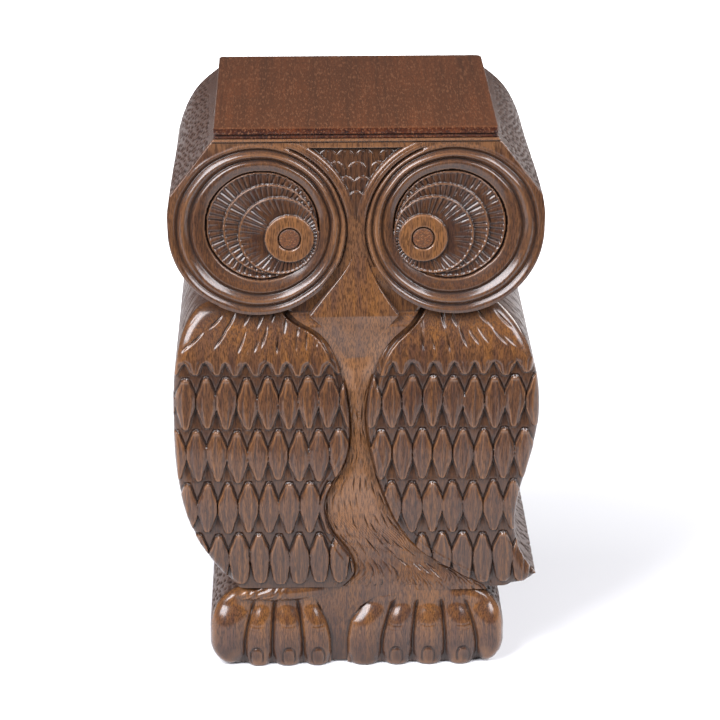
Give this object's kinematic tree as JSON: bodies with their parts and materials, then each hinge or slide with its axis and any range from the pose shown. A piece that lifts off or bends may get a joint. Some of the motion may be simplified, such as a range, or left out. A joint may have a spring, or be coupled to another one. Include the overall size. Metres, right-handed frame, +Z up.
{
  "type": "carved wooden owl plinth",
  "caption": "Block-shaped carved wooden owl with ringed eyes, feathered wings and round-toed feet under a flat square top board.",
  "frame": {"origin": "on the floor, under the middle of the owl's width and depth", "axes": "+X to the right of a person facing the owl, +Y from its face to its back, +Z up"},
  "size_m": [0.2972, 0.232, 0.46],
  "materials": {
    "polished_wood": "satin lacquered reddish brown hardwood, flat planed",
    "carved_wood": "satin lacquered brown hardwood, hand carved, dark in the cuts",
    "gouged_wood": "grey-brown stained hardwood covered with small gouge marks",
    "end_grain_wood": "reddish end grain, lacquered",
    "plain_wood": "bare sawn wood, unfinished",
    "dowel_wood": "bare beech dowel",
    "screw_metal": "dull zinc plated steel"
  },
  "bodies": {
    "root": {"back_dowels": "dowel_wood", "back_left_corner_post": "plain_wood", "back_right_corner_post": "plain_wood", "base_board": "plain_wood", "base_screws": "screw_metal", "beak": "carved_wood", "beak_dowel": "dowel_wood", "breast_board": "carved_wood", "centre_back_board": "gouged_wood", "face_dowels": "dowel_wood", "foot_dowels": "dowel_wood", "front_left_corner_post": "plain_wood", "front_right_corner_post": "plain_wood", "left_back_board": "gouged_wood", "left_base_side": "gouged_wood", "left_body_side": "gouged_wood", "left_face_board": "carved_wood", "left_foot": "carved_wood", "left_head_side": "gouged_wood", "left_pupil_plug": "end_grain_wood", "left_wing": "carved_wood", "neck_dowels": "dowel_wood", "right_back_board": "gouged_wood", "right_base_side": "gouged_wood", "right_body_side": "gouged_wood", "right_face_board": "carved_wood", "right_foot": "carved_wood", "right_head_side": "gouged_wood", "right_pupil_plug": "end_grain_wood", "right_wing": "carved_wood", "top_board": "polished_wood", "waist_dowels": "dowel_wood", "wing_dowels": "dowel_wood"}
  },
  "joints": []
}
